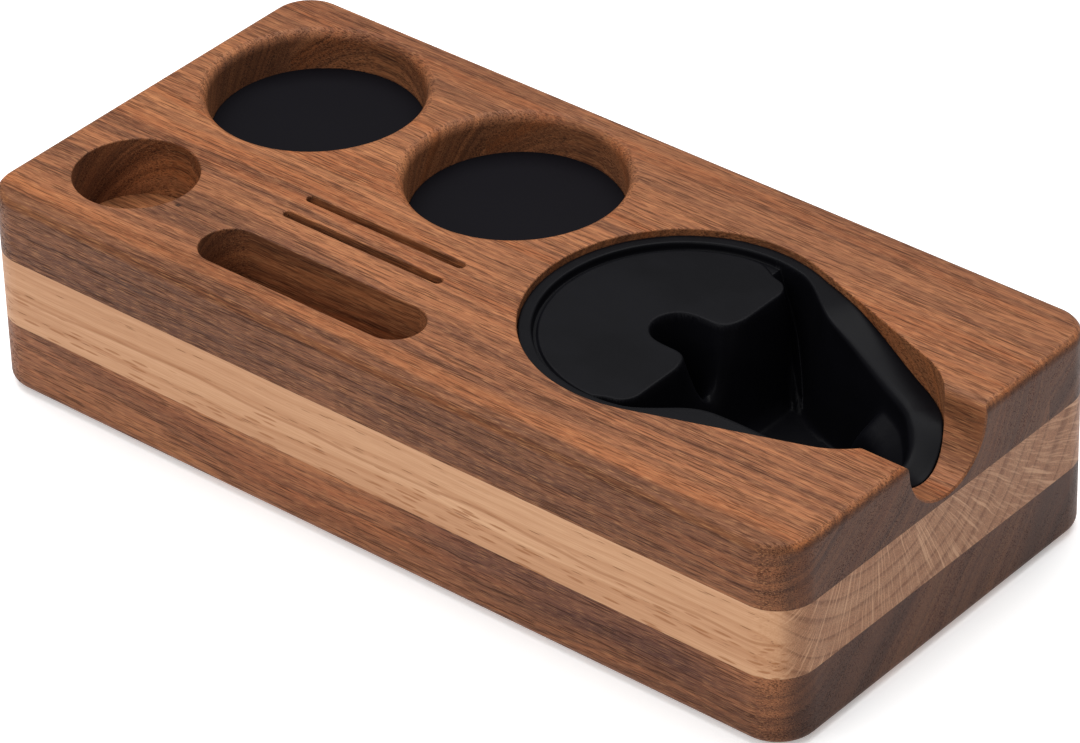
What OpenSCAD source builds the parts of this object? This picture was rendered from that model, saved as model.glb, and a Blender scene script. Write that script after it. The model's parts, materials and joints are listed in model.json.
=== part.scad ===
// Espresso bench station: a laminated hardwood block with wells for a tamper and a distributor,
// a small cup well, two thin slots, a tool pocket, and a drop-in moulded tray for a portafilter.
// Millimetres. +X runs to the handle notch, +Z is up, and z = 0 is the underside of the feet.

/* [Block] */
// Length of the block, end grain to end grain
block_l = 300; // [290:1:320]
// Width of the block, front to back
block_w = 144; // [142:1:160]
// Radius of the four upright corners
corner_r = 13; // [8:0.5:16]
// Radius worked on the outer top and bottom edges
edge_r = 3; // [1:0.5:4]
// Thickness of the dark base board
base_t = 23; // [18:0.5:26]
// Thickness of the pale middle board
middle_t = 23; // [23:0.5:26]
// Thickness of the dark top board
top_t = 21; // [21:0.5:24]
// Width of the narrow strip that is edge-glued along the back of the top board
strip_w = 24; // [22:0.5:24]

/* [Feet] */
// Radius of a stick-on rubber foot
foot_r = 8; // [5:0.5:12]
// Thickness of a foot
foot_t = 2; // [1.5:0.5:3]
// How far a foot stands out of its shallow seat
foot_proud = 1; // [0.5:0.5:1.5]
// Distance of the feet from the ends and the sides
foot_inset = 22; // [16:1:30]

/* [Tool wells] */
// Radius of the wells for the tamper and the distributor
well_r = 33; // [30:0.5:34]
// Radius rolled onto the mouth of a well
well_lip = 3.5; // [2:0.5:4]
// Depth from the top face to the top of the pad
well_depth = 12.5; // [8:0.5:15]
// Distance of the tamper well's centre from the middle of the block
tamper_x = -107.6; // [-108:0.1:-106]
// Centre distance of the two wells
well_pitch = 78.2; // [74:0.1:79]
// Distance of both wells from the centre line
well_y = 30; // [28:0.5:31]

/* [Pads] */
// Thickness of the silicone pads
pad_t = 2; // [1:0.5:3]
// How much narrower a pad's seat is than its well, in radius
pad_ledge = 0.4; // [0.3:0.1:1]
// Clearance round the loose silicone pieces
loose_gap = 0.3; // [0.2:0.05:0.5]

/* [Small well, slots and tool pocket] */
// Radius of the small cup well
cup_r = 19; // [15:0.5:20]
// Depth of the small cup well
cup_depth = 19.5; // [10:0.5:20]
// Centre of the small cup well along the block
cup_x = -118.3; // [-119:0.1:-116]
// Centre of the small cup well across the block
cup_y = -37.7; // [-40:0.1:-36]
// Length of the two slots for steel screens
slot_l = 60; // [55:0.5:62]
// Width of the slots
slot_w = 3; // [2:0.5:5]
// Depth of the slots
slot_depth = 18; // [10:0.5:19]
// Centre of both slots along the block
slot_x = -39.6; // [-42:0.1:-38]
// Centre of the back slot across the block
slot_y = -16.6; // [-18:0.1:-14]
// Distance between the two slots
slot_pitch = 10.1; // [8:0.1:12]
// Length of the round-ended tool pocket
pocket_l = 81.4; // [70:0.1:84]
// Width of the tool pocket
pocket_w = 18.4; // [14:0.1:20]
// Depth of the tool pocket
pocket_depth = 19.5; // [10:0.5:20]
// Centre of the tool pocket along the block
pocket_x = -38.6; // [-42:0.1:-36]
// Centre of the tool pocket across the block
pocket_y = -49.9; // [-52:0.1:-48]

/* [Portafilter recess] */
// Centre of the round end that takes the head
head_x = 56.5; // [56:0.5:60]
// Radius of the round end that takes the head
head_r = 46.7; // [44:0.1:47]
// Centre of the nose towards the handle
nose_x = 113; // [112:0.5:114]
// Radius of the nose
nose_r = 28.5; // [27:0.1:29]
// Offset of the recess and the notch from the centre line
recess_y = 0.5; // [0:0.1:0.5]
// Radius of the handle notch
notch_r = 17.4; // [15:0.1:18]
// Depth of the notch's axis under the top face
notch_axis_drop = 2; // [2:0.5:3]
// Radius rolled onto the notch's long top edges
notch_lip = 3; // [2:0.5:4]

/* [Tray] */
// Depth of the tray's rim under the top face
rim_drop = 2; // [1:0.5:3]
// Thickness of the tray's sheet
sheet_t = 3; // [2:0.5:4]
// Width of the rim at the head end
rim_w = 4.2; // [3:0.1:6]
// Depth of the seat floor under the rim
seat_drop = 1.5; // [1:0.5:2]
// Width of the rim where it turns over the nose
nose_rim_w = 11; // [9:0.5:12]
// Slope of the rim down to the notch, in degrees
rim_slope = 20; // [18:0.5:21]
// Where the rim starts to fall
bend_x = 88; // [85:1:90]
// Radius of the bend where it starts to fall
bend_r = 30; // [20:1:40]
// Where the seat floor ends and the spout pocket begins
step_x = 67.6; // [66:0.1:69]
// Radius of the tongue cut into the seat floor
tongue_r = 8; // [6:0.5:9]
// Centre of the tongue's round end
tongue_x = 55.5; // [54:0.5:58]
// Half-width of the tongue at its root
tongue_root = 13; // [10:0.5:16]
// Depth of the spout pocket under the top face
spout_depth = 38.5; // [30:0.5:39]
// Wall thickness of the spout pocket
wall_t = 2.5; // [2:0.5:3]

/* [Hidden] */
$fn = 96;
over = 1;                        // how far a cutter runs past the face it cuts
tuck = 0.02;                     // how far a tangent lies inside its circles, so that they cross cleanly
base_z = foot_proud;             // underside of the base board
middle_z = base_z + base_t;      // lower glue line
top_z = middle_z + middle_t;     // upper glue line
face_z = top_z + top_t;          // top face of the block
glue_y = block_w / 2 - strip_w;  // glue line between the top board and its back strip
distributor_x = tamper_x + well_pitch;
pad_seat_z = face_z - well_depth - pad_t;
ledge_z = face_z - rim_drop - sheet_t;
spout_z = face_z - spout_depth;
end_x = block_l / 2 + over;
bend_steps = 8;
walnut = [0.36, 0.21, 0.13];
oak = [0.80, 0.62, 0.45];
silicone = [0.09, 0.09, 0.11];

// ---- the block's outline and boards ----

// Half section of a board's edge: reach out from the corner centre, with the edge rounded or square
module edge_section(reach, h, top_r, bottom_r) {
    difference() {
        square([reach, h]);
        if (top_r > 0)
            translate([reach - top_r, h - top_r]) difference() {
                square(top_r + over);
                circle(top_r);
            }
        if (bottom_r > 0)
            translate([reach - bottom_r, bottom_r]) mirror([0, 1]) difference() {
                square(bottom_r + over);
                circle(bottom_r);
            }
    }
}

// A board of the block: straight edges swept along the sides, turned at the corners
module board(z, h, top_r = 0, bottom_r = 0) {
    cx = block_l / 2 - corner_r;
    cy = block_w / 2 - corner_r;
    translate([0, 0, z]) {
        translate([-cx, -cy, 0]) cube([2 * cx, 2 * cy, h]);
        for (side = [0, 180]) {
            rotate(side) translate([cx, cy, 0]) rotate([90, 0, 0])
                linear_extrude(2 * cy) edge_section(corner_r, h, top_r, bottom_r);
            rotate(side) translate([-cx, cy, 0]) rotate([90, 0, 90])
                linear_extrude(2 * cx) edge_section(corner_r, h, top_r, bottom_r);
            rotate(side) translate([cx, cy, 0])
                rotate_extrude(angle = 90) edge_section(corner_r, h, top_r, bottom_r);
            rotate(side) translate([-cx, cy, 0]) rotate(90)
                rotate_extrude(angle = 90) edge_section(corner_r, h, top_r, bottom_r);
        }
    }
}

// ---- cutters ----

// A round well with a rolled lip, and a slightly narrower seat for its pad below
module well_cut(x) {
    translate([x, well_y, 0]) {
        rotate_extrude() translate([0, face_z - well_depth]) {
            square([well_r, well_depth + over]);
            translate([well_r, well_depth - well_lip]) difference() {
                square([well_lip, well_lip + over]);
                translate([well_lip, 0]) circle(well_lip);
            }
        }
        translate([0, 0, pad_seat_z]) cylinder(r = well_r - pad_ledge, h = pad_t + over);
    }
}

// A round-ended cut of length l and width w, sunk into the top face
module slot_cut(x, y, l, w, depth) {
    straight = l - w;
    translate([x, y, face_z - depth]) linear_extrude(depth + over) {
        for (side = [-1, 1]) translate([side * straight / 2, 0]) circle(w / 2);
        translate([-straight / 2, -w / 2]) square([straight, w]);
    }
}

// Plan of the recess: two circles and their common tangents, each circle drawn in by its own amount
module tear_plan(head_in = 0, nose_in = 0) {
    ra = head_r - head_in;
    rb = nose_r - nose_in;
    tilt = asin((ra - rb) / (nose_x - head_x));
    out = [sin(tilt), cos(tilt)];
    back = [out[0], -out[1]];
    a = [head_x, 0];
    b = [nose_x, 0];
    translate([0, recess_y]) {
        translate(a) circle(ra);
        translate(b) circle(rb);
        polygon([a + (ra - tuck) * back, b + (rb - tuck) * back,
                 b + (rb - tuck) * out, a + (ra - tuck) * out]);
    }
}

// Height of the rim's surface along X: level, a bend, then a straight fall to the notch
bend_end = [bend_x + bend_r * sin(rim_slope), -rim_drop - bend_r * (1 - cos(rim_slope))];
rim_line = concat(
    [[-block_l / 2, -rim_drop]],
    [for (i = [0:bend_steps]) let (a = rim_slope * i / bend_steps)
        [bend_x + bend_r * sin(a), -rim_drop - bend_r * (1 - cos(a))]],
    [[end_x, bend_end[1] - (end_x - bend_end[0]) * tan(rim_slope)]]);

// Everything over the rim's surface, lowered by the given amount
module above_rim(lower = 0) {
    translate([0, block_w / 2, face_z - lower]) rotate([90, 0, 0]) linear_extrude(block_w)
        polygon(concat(rim_line, [[end_x, block_l], [-block_l / 2, block_l]]));
}

// Plan of the spout pocket with its tongue, grown outwards by the given amount
module spout_plan(grow = 0) {
    intersection() {
        tear_plan(rim_w + seat_drop - grow, nose_rim_w - grow);
        translate([step_x - grow, -block_w / 2]) square([block_l, block_w]);
    }
    translate([tongue_x, recess_y]) circle(tongue_r + grow);
    translate([0, recess_y])
        polygon([[tongue_x, -tongue_r - grow], [step_x, -tongue_root - grow],
                 [step_x, tongue_root + grow], [tongue_x, tongue_r + grow]]);
}

// The stepped recess that the tray drops into
module recess_cut() {
    intersection() {
        translate([0, 0, middle_z]) linear_extrude(block_l) tear_plan();
        above_rim(sheet_t);
    }
    translate([0, 0, spout_z - wall_t]) linear_extrude(spout_depth + wall_t + over)
        spout_plan(wall_t + loose_gap);
}

// The handle notch: a round-bottomed groove with rolled top edges, open at the end of the block
module notch_cut() {
    flare = notch_r + notch_lip;
    translate([nose_x, recess_y, face_z]) rotate([90, 0, 90]) linear_extrude(end_x - nose_x) {
        translate([0, -notch_axis_drop]) circle(notch_r);
        translate([-notch_r, -notch_axis_drop]) square([2 * notch_r, notch_axis_drop + over]);
        for (side = [0, 1]) mirror([side, 0]) difference() {
            translate([notch_r - notch_lip, -notch_lip]) square([2 * notch_lip, notch_lip + over]);
            translate([flare, -notch_lip]) circle(notch_lip);
        }
    }
}

module top_cuts() {
    well_cut(tamper_x);
    well_cut(distributor_x);
    translate([cup_x, cup_y, face_z - cup_depth]) cylinder(r = cup_r, h = cup_depth + over);
    for (i = [0, 1]) slot_cut(slot_x, slot_y - i * slot_pitch, slot_l, slot_w, slot_depth);
    slot_cut(pocket_x, pocket_y, pocket_l, pocket_w, pocket_depth);
    recess_cut();
    notch_cut();
}

// ---- the pieces ----

module base_board() {
    color(walnut) difference() {
        board(base_z, base_t, bottom_r = edge_r);
        for (sx = [-1, 1], sy = [-1, 1]) foot_disc(sx, sy);
    }
}

module middle_board() {
    color(oak) difference() {
        board(middle_z, middle_t);
        recess_cut();
    }
}

module top_board() {
    color(walnut) difference() {
        board(top_z, top_t, top_r = edge_r);
        translate([-block_l, glue_y, 0]) cube([2 * block_l, block_w, 2 * face_z]);
        top_cuts();
    }
}

module top_back_strip() {
    color(walnut) difference() {
        board(top_z, top_t, top_r = edge_r);
        translate([-block_l, glue_y - block_w, 0]) cube([2 * block_l, block_w, 2 * face_z]);
        well_cut(tamper_x);
        well_cut(distributor_x);
    }
}

module portafilter_tray() {
    color(silicone) difference() {
        union() {
            difference() {
                intersection() {
                    translate([0, 0, base_z]) linear_extrude(face_z) tear_plan(loose_gap, loose_gap);
                    above_rim(sheet_t);
                }
                above_rim();
            }
            difference() {
                translate([0, 0, spout_z - wall_t]) linear_extrude(spout_depth) spout_plan(wall_t);
                above_rim();
            }
        }
        translate([0, 0, face_z - rim_drop - seat_drop]) linear_extrude(block_l) intersection() {
            tear_plan(rim_w, nose_rim_w);
            translate([-block_l / 2, -block_w / 2]) square([block_l / 2 + step_x, block_w]);
        }
        translate([0, 0, spout_z]) linear_extrude(block_l) spout_plan();
    }
}

module pad(x) {
    color(silicone) translate([x, well_y, pad_seat_z])
        cylinder(r = well_r - pad_ledge - loose_gap, h = pad_t);
}

module tamper_pad() pad(tamper_x);
module distributor_pad() pad(distributor_x);

module foot_disc(sx, sy) {
    translate([sx * (block_l / 2 - foot_inset), sy * (block_w / 2 - foot_inset), 0])
        cylinder(r = foot_r, h = foot_t);
}

module foot_front_left() color(silicone) foot_disc(-1, -1);
module foot_front_right() color(silicone) foot_disc(1, -1);
module foot_back_left() color(silicone) foot_disc(-1, 1);
module foot_back_right() color(silicone) foot_disc(1, 1);

base_board();
middle_board();
top_board();
top_back_strip();
portafilter_tray();
tamper_pad();
distributor_pad();
foot_front_left();
foot_front_right();
foot_back_left();
foot_back_right();
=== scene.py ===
# %% [markdown]
# # A bench station for a portafilter and its tools
# The real object is a block of three glued boards, dark walnut over pale oak over walnut. Wells and
# slots are routed into its top, a moulded black tray drops into a tear-shaped recess, and two loose
# silicone discs lie in the big wells. This lesson builds the looks around a CAD frame: the frame says
# where everything is and how it moves, and each step below makes one piece or one finish.

# %% Load the frame
import json
import math
from functools import partialmethod

import bmesh
import bpy
import numpy as np
from mathutils import Matrix, Vector, geometry


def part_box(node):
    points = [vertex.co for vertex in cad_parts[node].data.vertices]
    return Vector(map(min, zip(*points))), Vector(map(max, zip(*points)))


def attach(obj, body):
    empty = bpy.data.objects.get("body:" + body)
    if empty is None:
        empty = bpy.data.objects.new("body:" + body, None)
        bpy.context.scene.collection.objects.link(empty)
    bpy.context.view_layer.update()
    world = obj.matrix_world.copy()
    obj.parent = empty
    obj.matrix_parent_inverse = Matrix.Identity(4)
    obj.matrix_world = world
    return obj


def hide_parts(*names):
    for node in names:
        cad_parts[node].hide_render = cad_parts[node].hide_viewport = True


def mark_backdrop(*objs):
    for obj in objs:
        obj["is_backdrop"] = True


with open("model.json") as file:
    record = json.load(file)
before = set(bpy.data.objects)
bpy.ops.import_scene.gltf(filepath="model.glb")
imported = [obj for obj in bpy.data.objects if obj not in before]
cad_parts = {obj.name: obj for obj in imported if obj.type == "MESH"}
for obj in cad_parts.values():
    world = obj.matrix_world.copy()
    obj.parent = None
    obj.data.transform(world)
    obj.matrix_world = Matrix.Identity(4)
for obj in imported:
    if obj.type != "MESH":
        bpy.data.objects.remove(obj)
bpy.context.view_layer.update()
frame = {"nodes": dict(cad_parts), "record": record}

# %% [markdown]
# ## Sizes
# A joiner works in millimetres and the frame is in metres, so each length below is a number times MM.
# Faces, glue lines and well centres come from the frame's boxes and mounts. Only the worked details
# that the frame doesn't name, such as the softened edges of the slots, are given here.

# %% Sizes of the block
MM = 0.001
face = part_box("top_board")[1].z
glue_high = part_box("middle_board")[1].z
glue_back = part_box("top_back_strip")[0].y
half_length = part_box("middle_board")[1].x
half_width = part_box("middle_board")[1].y
mounts = {mount["name"]: mount for mount in frame["record"]["mounts"]}
CORNER = 13 * MM        # upright corners of the block
EDGE = 3 * MM           # rounding of the outer top edge
WORN = 0.5 * MM         # the fine edge that sandpaper leaves on a routed pocket
OVER = 2 * MM           # how far a cutter runs past the face it cuts
print("face, glue lines, mm:", [round(z / MM, 1) for z in (face, glue_high, glue_back)])

# %% [markdown]
# ## A small hand for building node trees
# Geometry trees and shader trees are built the same way: add a node, set its choices, and give each
# input either a number or another node's output. One helper does that for every tree in this lesson.


# %% The node helper
class Graph:
    """Adds nodes to a tree, and wires or sets their inputs."""

    def __init__(self, tree):
        self.tree = tree

    def give(self, socket, value):
        """Wires another node's output to a socket, or sets a plain value on it."""
        if isinstance(value, bpy.types.NodeSocket):
            self.tree.links.new(value, socket)
        else:
            socket.default_value = value

    def add(self, kind, inputs=None, **choices):
        node = self.tree.nodes.new(kind)
        for choice, value in choices.items():
            setattr(node, choice, value)
        for socket, value in (inputs or {}).items():
            self.give(node.inputs[socket], value)
        return node

    def math(self, operation, *terms):
        return self.add("ShaderNodeMath", dict(enumerate(terms)), operation=operation).outputs[0]

    plus = partialmethod(math, "ADD")
    minus = partialmethod(math, "SUBTRACT")
    times = partialmethod(math, "MULTIPLY")
    over = partialmethod(math, "DIVIDE")

    def vector(self, operation, *terms):
        return self.add("ShaderNodeVectorMath", dict(enumerate(terms)), operation=operation).outputs[0]

    def length(self, vector):
        return self.add("ShaderNodeVectorMath", {0: vector}, operation="LENGTH").outputs["Value"]

    def parts(self, vector):
        """The X, Y and Z of a vector."""
        return self.add("ShaderNodeSeparateXYZ", {0: vector}).outputs

    def point(self, x=0.0, y=0.0, z=0.0):
        """A vector made from three numbers."""
        return self.add("ShaderNodeCombineXYZ", {"X": x, "Y": y, "Z": z}).outputs[0]


print("node helper:", Graph.__doc__)

# %% [markdown]
# ## Timber that is solid all the way through
# A picture of wood wrapped on a block betrays itself at the corners, because the lines on the side
# don't meet those on the top. Real grain is a solid thing. A tree grows rings round its pith, stretches
# its pores and fibres along the trunk, and spreads thin rays outwards. The finish copies that: it works
# out how far each point is from a pith that lies outside the board, bends that distance slowly so that
# the figure flows, and adds pores, fibres and rays. Long grain, end grain and the walls of the wells
# then come out right by themselves.


# %% Colours and small shader helpers
def colour(red, green, blue):
    """A colour given in everyday 0 to 255 values, turned to the linear values that light uses."""
    parts = [part / 255 for part in (red, green, blue)]
    return (*[p / 12.92 if p <= 0.04045 else ((p + 0.055) / 1.055) ** 2.4 for p in parts], 1.0)


class Finish(Graph):
    """A material under construction, with its Principled shader."""

    def __init__(self, name, sheen):
        self.material = bpy.data.materials.new(name)
        self.material.use_nodes = True
        super().__init__(self.material.node_tree)
        self.tree.nodes.clear()
        self.shader = self.add("ShaderNodeBsdfPrincipled", {"Specular IOR Level": sheen})
        self.add("ShaderNodeOutputMaterial", {"Surface": self.shader.outputs[0]})
        coordinates = self.add("ShaderNodeTexCoord").outputs
        self.place = self.vector("MULTIPLY", coordinates["Object"], (1 / MM, 1 / MM, 1 / MM))
        self.facing = self.parts(coordinates["Normal"])

    def stretch(self, place, x, y, z):
        """Stretches a pattern so that its features are about x by y by z mm."""
        return self.vector("MULTIPLY", place, (1 / x, 1 / y, 1 / z))

    def noise(self, place, detail=2.0, roughness=0.5, output="Fac"):
        values = {"Vector": place, "Scale": 1.0, "Detail": detail, "Roughness": roughness}
        return self.add("ShaderNodeTexNoise", values).outputs[output]

    def sway(self, place, size, detail, reach):
        """A number that drifts slowly to either side of 0, over the reach in all."""
        return self.times(self.minus(self.noise(self.stretch(place, *size), detail), 0.5), reach)

    def cells(self, place):
        """Distance from the nearest of many scattered points, for pores and flecks."""
        return self.add("ShaderNodeTexVoronoi", {"Vector": place, "Scale": 1.0}).outputs["Distance"]

    def between(self, value, start, end):
        """0 before start, 1 after end, and a smooth step between."""
        flip = start > end
        limits = {"From Min": min(start, end), "From Max": max(start, end),
                  "To Min": 1.0 if flip else 0.0, "To Max": 0.0 if flip else 1.0}
        return self.add("ShaderNodeMapRange", {"Value": value, **limits},
                        interpolation_type="SMOOTHSTEP").outputs[0]

    def band(self, value, start, full, fade, end):
        """Rises from start to full, and dies away from fade to end."""
        return self.times(self.between(value, start, full), self.between(value, end, fade))

    def mix(self, factor, under, over):
        node = self.add("ShaderNodeMix", data_type="RGBA")
        for socket, value in ((0, factor), (6, under), (7, over)):
            self.give(node.inputs[socket], value)
        return node.outputs[2]

    def tint(self, under, over, mask, amount):
        """Lays a tone over another where the mask is 1, by the amount."""
        return self.mix(self.times(mask, amount), under, over)

    def ramp(self, value, stops):
        node = self.add("ShaderNodeValToRGB", {"Fac": value})
        elements = node.color_ramp.elements
        while len(elements) < len(stops):
            elements.new(0.5)
        for element, (position, tone) in zip(elements, stops):
            element.position = position
            element.color = tone
        return node.outputs[0]

    def finish(self, tone, roughness, height, depth):
        """Gives the shader its colour, its roughness and a bump whose height of 1 is depth in mm."""
        bump = self.add("ShaderNodeBump", {"Strength": 1.0, "Distance": depth * MM, "Height": height})
        given = {"Base Color": tone, "Roughness": roughness, "Normal": bump.outputs[0]}
        for socket, value in given.items():
            self.give(self.shader.inputs[socket], value)
        return self.material


print("shader helpers:", Finish.__doc__)


# %% The growth of a board
class Timber(Finish):
    """Wood under construction. It knows where in the tree each point grew."""

    def __init__(self, name, shift, pith, bend):
        super().__init__(name, sheen=0.12)
        self.grown = self.vector("ADD", self.place, shift)
        bent = self.vector("ADD", self.place, self.drift((170, 70, 70), 1.0, bend))
        bent = self.vector("ADD", bent, self.drift((40, 16, 16), 2.0, 2.2))
        out = self.parts(self.vector("SUBTRACT", bent, (0.0, *pith)))
        self.distance = self.length(self.point(0.0, out["Y"], out["Z"]))
        self.bearing = self.math("ARCTAN2", out["Y"], self.times(out["Z"], -1.0))
        self.along = self.parts(self.grown)["X"]

    def drift(self, size, detail, reach):
        """A slow sideways bend of the grain, over the reach in all."""
        colours = self.noise(self.stretch(self.grown, *size), detail, output="Color")
        centred = self.vector("SUBTRACT", colours, (0.5, 0.5, 0.5))
        return self.vector("MULTIPLY", centred, (0.0, reach, reach))

    def rings(self, long, thick, turn=1.0):
        """A pattern's place in the tree: along the trunk, across the rings, and round them."""
        return self.point(self.over(self.along, long), self.over(self.distance, thick),
                          self.times(self.bearing, turn))

    def year(self, ring, long, thick, uneven):
        """How far through its year's growth a point lies, from 0 to 1."""
        shifted = self.times(self.noise(self.rings(long, thick), 1.0), uneven)
        return self.math("FRACT", self.plus(self.over(self.distance, ring), shifted))

    def fibres(self, wood, tone, size, roughness, amount):
        """Dark fibres between the light ones. Returns their pattern and the wood."""
        fibre = self.noise(self.stretch(self.grown, *size), 3.0, roughness)
        return fibre, self.mix(self.between(fibre, 0.36, 0.62), self.mix(amount, wood, tone), wood)

    def end_face(self):
        """1 where the surface faces along the trunk, and 0 on long grain."""
        return self.between(self.math("ABSOLUTE", self.facing["X"]), 0.55, 0.95)


print("timber helpers:", Timber.__doc__)

# %% Walnut
HEARTWOOD = [(0.28, colour(78, 45, 29)), (0.40, colour(118, 72, 47)), (0.50, colour(150, 94, 61)),
             (0.60, colour(167, 107, 69)), (0.74, colour(178, 118, 74))]
END_SHADE_DEPTH = 18.0        # how far in from the block's ends the extra darkening of end grain, painted shade of the end faces, begins, in mm
END_SHADE_FULL = 4.0          # and where that painted shade is at its darkest


def walnut(name, shift, pith, bend=16.0, ring=4.2, dark=0.0, figure=0.45, feature=None):
    """Walnut. The figure is the share of broad bands, and the feature adds a board's own marks."""
    f = Timber(name, shift, pith, bend)
    broad = f.noise(f.rings(260, 13), 2.0)
    fine = f.noise(f.rings(110, 1.3), 3.0, 0.62)
    wood = f.ramp(f.plus(f.times(broad, figure), f.times(fine, 1 - figure)), HEARTWOOD)
    streak = f.noise(f.rings(200, 7), 1.0)
    wood = f.tint(wood, colour(152, 80, 36), f.between(streak, 0.54, 0.70), 0.40)
    wood = f.tint(wood, colour(80, 52, 42), f.between(streak, 0.44, 0.30), 0.32)
    late = f.band(f.year(ring, 400, 9, 3.0), 0.35, 0.96, 0.96, 1.0)
    wood = f.tint(wood, colour(68, 40, 27), late, 0.34)
    if feature:
        wood = feature(f, wood)
    fibre, wood = f.fibres(wood, colour(62, 34, 22), (20, 0.5, 0.5), 0.68, 0.42)
    thread = f.noise(f.stretch(f.grown, 5, 0.2, 0.2), 1.0)
    wood = f.tint(wood, colour(205, 148, 100), f.between(thread, 0.50, 0.70), 0.30)
    crowd = f.noise(f.rings(60, 3.0), 1.0)
    size = f.plus(0.27, f.times(f.between(crowd, 0.35, 0.7), 0.17))
    coarse = f.between(f.minus(size, f.cells(f.stretch(f.grown, 17, 0.58, 0.58))), 0.0, 0.10)
    short = f.between(f.cells(f.stretch(f.grown, 7.0, 0.42, 0.42)), 0.36, 0.20)
    pores = f.math("MAXIMUM", coarse, f.times(short, 0.75))
    wood = f.tint(wood, colour(42, 22, 15), pores, 0.56)
    # End grain darkens by a quarter of the full amount everywhere, which is its own colour. The rest is laid
    # only near the block's two ends and is painted shade of the end faces.
    from_middle = f.math("ABSOLUTE", f.parts(f.place)["X"])
    block_end_shade = f.between(from_middle, half_length / MM - END_SHADE_DEPTH, half_length / MM - END_SHADE_FULL)
    end = f.times(f.end_face(), f.plus(0.25, f.times(block_end_shade, 0.75)))
    wood = f.mix(end, wood, f.mix(0.68, wood, colour(38, 29, 29)))
    if dark:
        wood = f.mix(dark, wood, colour(62, 42, 36))
    relief = f.minus(f.times(fibre, 0.35), pores)
    return f.finish(wood, f.plus(0.46, f.times(pores, 0.3)), relief, 0.07)


print("walnut runs through", len(HEARTWOOD), "tones")

# %% Oak
SAPWOOD = [(0.32, colour(160, 113, 80)), (0.5, colour(185, 140, 105)), (0.68, colour(202, 160, 124))]
EARLY_BROWN, VESSEL_BROWN = colour(156, 104, 68), colour(112, 74, 48)
END_BROWN, END_DARK, RAY_CREAM = colour(128, 86, 64), colour(88, 58, 43), colour(206, 164, 130)
FLECK_LINE = 36.0       # height of a wandering line of flecks, in mm, with more flecks below it


def oak(name, shift, pith, bend=9.0, ring=6.2):
    """Oak, with open pores in the early wood, and rays that show as flecks or as pale lines."""
    f = Timber(name, shift, pith, bend)
    broad = f.noise(f.rings(300, 9), 2.0)
    fine = f.noise(f.rings(160, 1.2), 3.0, 0.6)
    wood = f.ramp(f.plus(f.times(broad, 0.6), f.times(fine, 0.4)), SAPWOOD)
    early = f.band(f.year(ring, 500, 10, 1.6), 0.0, 0.06, 0.10, 0.34)
    fibre, wood = f.fibres(wood, colour(150, 98, 64), (14, 0.4, 0.4), 0.6, 0.24)
    vessel = f.times(f.between(f.cells(f.stretch(f.grown, 8, 0.62, 0.62)), 0.34, 0.18), early)
    wood = f.tint(wood, EARLY_BROWN, early, 0.34)
    wood = f.tint(wood, VESSEL_BROWN, vessel, 0.65)
    height = f.parts(f.place)["Z"]
    fleck = f.between(f.cells(f.stretch(f.grown, 12, 3.0, 1.4)), 0.34, 0.20)
    fleck = f.times(fleck, f.between(height, FLECK_LINE + 3.0, FLECK_LINE - 3.0))
    waved = f.plus(height, f.sway(f.grown, (50, 50, 50), 1.0, 7.0))
    line = f.between(f.math("ABSOLUTE", f.minus(waved, FLECK_LINE)), 0.8, 0.2)
    flecks = f.math("MAXIMUM", f.times(fleck, 0.72), f.times(line, 0.50))
    long_grain = f.mix(flecks, wood, colour(142, 90, 54))
    speck = f.between(f.noise(f.stretch(f.grown, 8, 0.33, 0.33), 2.0, 0.7), 0.42, 0.58)
    ray = f.between(f.noise(f.rings(9.0, 30.0, 62.0), 1.0), 0.60, 0.70)
    hair = f.between(f.noise(f.rings(4.0, 9.0, 150.0), 1.0), 0.50, 0.68)
    end_grain = f.mix(0.60, wood, END_BROWN)
    end_grain = f.tint(end_grain, END_DARK, speck, 0.50)
    end_grain = f.tint(end_grain, END_DARK, early, 0.40)
    end_grain = f.tint(end_grain, RAY_CREAM, f.math("MAXIMUM", ray, f.times(hair, 0.6)), 0.42)
    wood = f.mix(f.end_face(), long_grain, end_grain)
    relief = f.minus(f.times(fibre, 0.4), vessel)
    return f.finish(wood, f.plus(0.48, f.times(vessel, 0.25)), relief, 0.05)


print("oak runs through", len(SAPWOOD), "tones")


# %% Marks that belong to one board
def spot(f, x, y, across_x, across_y):
    """1 at a place in plan, fading to 0 over an oval of the given half sizes."""
    there = f.vector("SUBTRACT", f.place, (x, y, 0.0))
    there = f.vector("MULTIPLY", there, (1 / across_x, 1 / across_y, 0.0))
    return f.between(f.length(there), 1.0, 0.2)


def top_marks(f, wood):
    """A dark line and an orange one along the front edge, and a pin knot in front of the cup well."""
    across = f.plus(f.parts(f.place)["Y"], f.sway(f.place, (60, 60, 60), 1.0, 5.0))
    warm = f.band(across, -68.0, -64.0, -62.0, -58.0)
    low = f.band(across, -76.0, -71.0, -67.5, -65.0)
    wood = f.tint(wood, colour(160, 90, 44), warm, 0.35)
    wood = f.tint(wood, colour(62, 36, 26), low, 0.55)
    ragged = f.noise(f.stretch(f.place, 2.0, 0.8, 0.8), 2.0, 0.7)
    wood = f.tint(wood, colour(60, 33, 22), f.times(spot(f, -90, -40, 26, 9), ragged), 0.75)
    return f.mix(spot(f, -96.7, -43, 1.6, 1.2), wood, colour(34, 17, 12))


def base_marks(f, wood):
    """A purple-brown heart streak in the upper half of the base, towards the front right."""
    parts = f.parts(f.place)
    length = f.band(parts["X"], -5.0, 40.0, 105.0, 150.0)
    height = f.between(f.plus(parts["Z"], f.sway(f.place, (40, 40, 14), 2.0, 14.0)), 9.0, 17.0)
    return f.tint(wood, colour(66, 36, 36), f.times(length, height), 0.68)


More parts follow.
